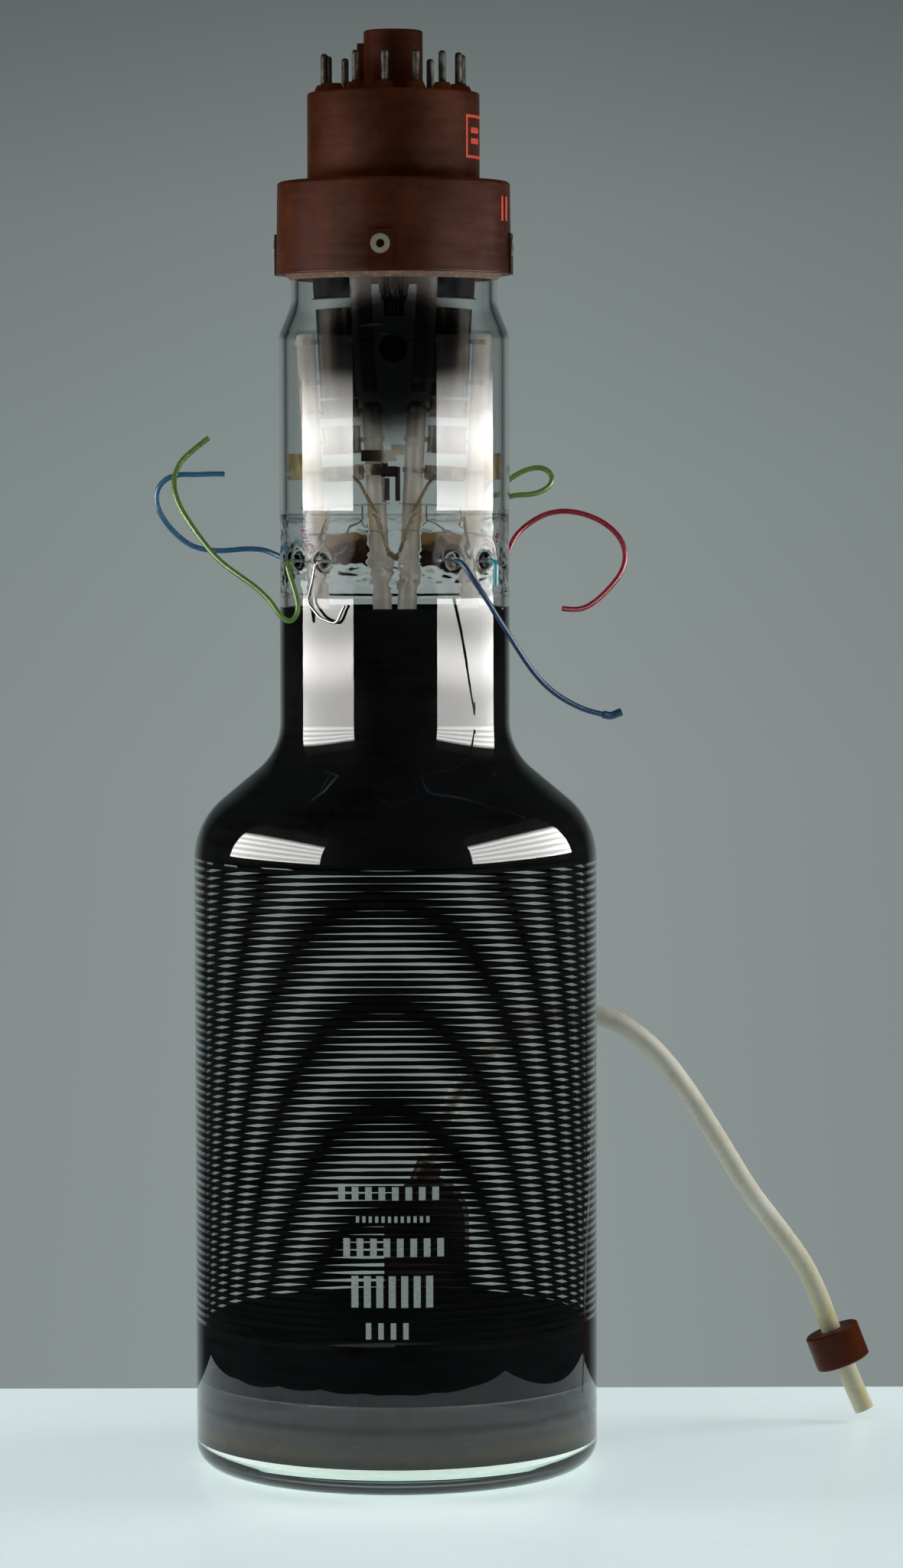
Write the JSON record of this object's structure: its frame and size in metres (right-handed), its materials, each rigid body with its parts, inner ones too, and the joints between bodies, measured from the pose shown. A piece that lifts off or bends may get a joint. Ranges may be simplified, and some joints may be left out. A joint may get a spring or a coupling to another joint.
{
  "type": "cathode ray tube",
  "caption": "Twin-gun cathode ray tube with a flat round face, spiral anode coating, flying leads on the neck, keyed pin base and a high-voltage lead.",
  "frame": {"origin": "centre of the faceplate's outer face", "axes": "+Z along the tube's axis from the face to the base, -Y towards the front of the view, +X to the right"},
  "size_m": [0.2393, 0.1463, 0.463],
  "materials": {
    "tube_glass": "clear",
    "face_glass": "clear, green tint",
    "phosphor": "matte powder",
    "screen_margin": "matte, granular",
    "graphite": "satin behind glass",
    "getter_flash": "dark mirror",
    "dark_metal": "oxidised",
    "nickel": "satin",
    "spring_metal": "straw tempered",
    "plate_metal": "heat tinted",
    "ceramic": "unglazed, cream",
    "mica": "translucent",
    "wire": "drawn",
    "resistance_wire": "oxidised",
    "phenolic": "moulded, satin",
    "contact_metal": "dull plated",
    "eyelet_metal": "dull plated",
    "cement": "baked",
    "green_pvc": "smooth sleeve",
    "light_blue_pvc": "smooth sleeve",
    "red_pvc": "smooth sleeve",
    "dark_blue_pvc": "smooth sleeve",
    "cyan_pvc": "smooth sleeve",
    "white_pvc": "aged sleeve",
    "boot_plastic": "moulded",
    "collar_plastic": "moulded"
  },
  "bodies": {
    "root": {"anode_band_coating": "graphite", "anode_boot": "boot_plastic", "anode_contact": "contact_metal", "aperture_cup_left": "nickel", "aperture_cup_right": "nickel", "bare_wire": "wire", "base_collar": "phenolic", "base_pins": "contact_metal", "base_shell": "phenolic", "basing_cement": "cement", "bulb_glass": "tube_glass", "cathode_disc_left": "ceramic", "cathode_disc_right": "ceramic", "cathode_left": "nickel", "cathode_right": "nickel", "centre_coils": "resistance_wire", "control_grid_left": "dark_metal", "control_grid_right": "dark_metal", "cross_plates": "dark_metal", "cut_lead_stub": "cyan_pvc", "dark_blue_lead": "dark_blue_pvc", "dark_blue_lead_cap": "dark_blue_pvc", "electrode_straps": "dark_metal", "eyelets": "eyelet_metal", "faceplate_glass": "face_glass", "first_anode_left": "nickel", "first_anode_right": "nickel", "focus_anode_left": "nickel", "focus_anode_right": "nickel", "getter": "nickel", "getter_flash_film": "getter_flash", "green_left_lead": "green_pvc", "green_right_lead": "green_pvc", "gun_wires": "resistance_wire", "heater_left": "wire", "heater_right": "wire", "helix_coating": "graphite", "hv_lead": "white_pvc", "hv_lead_collar": "collar_plastic", "lead_ring_glass": "tube_glass", "light_blue_lead": "light_blue_pvc", "lower_neck_glass": "tube_glass", "neck_glass": "tube_glass", "phosphor_screen": "phosphor", "plate_leads": "wire", "plate_mounts_left": "mica", "plate_mounts_right": "mica", "red_lead": "red_pvc", "screen_margin_coating": "screen_margin", "second_anode_left": "nickel", "second_anode_right": "nickel", "shoulder_coating": "graphite", "snubber_springs": "spring_metal", "stem_glass": "tube_glass", "stem_leads": "wire", "support_rods": "ceramic", "x_plates_left": "plate_metal", "x_plates_right": "plate_metal", "y_plates_left": "plate_metal", "y_plates_right": "plate_metal"}
  },
  "joints": []
}
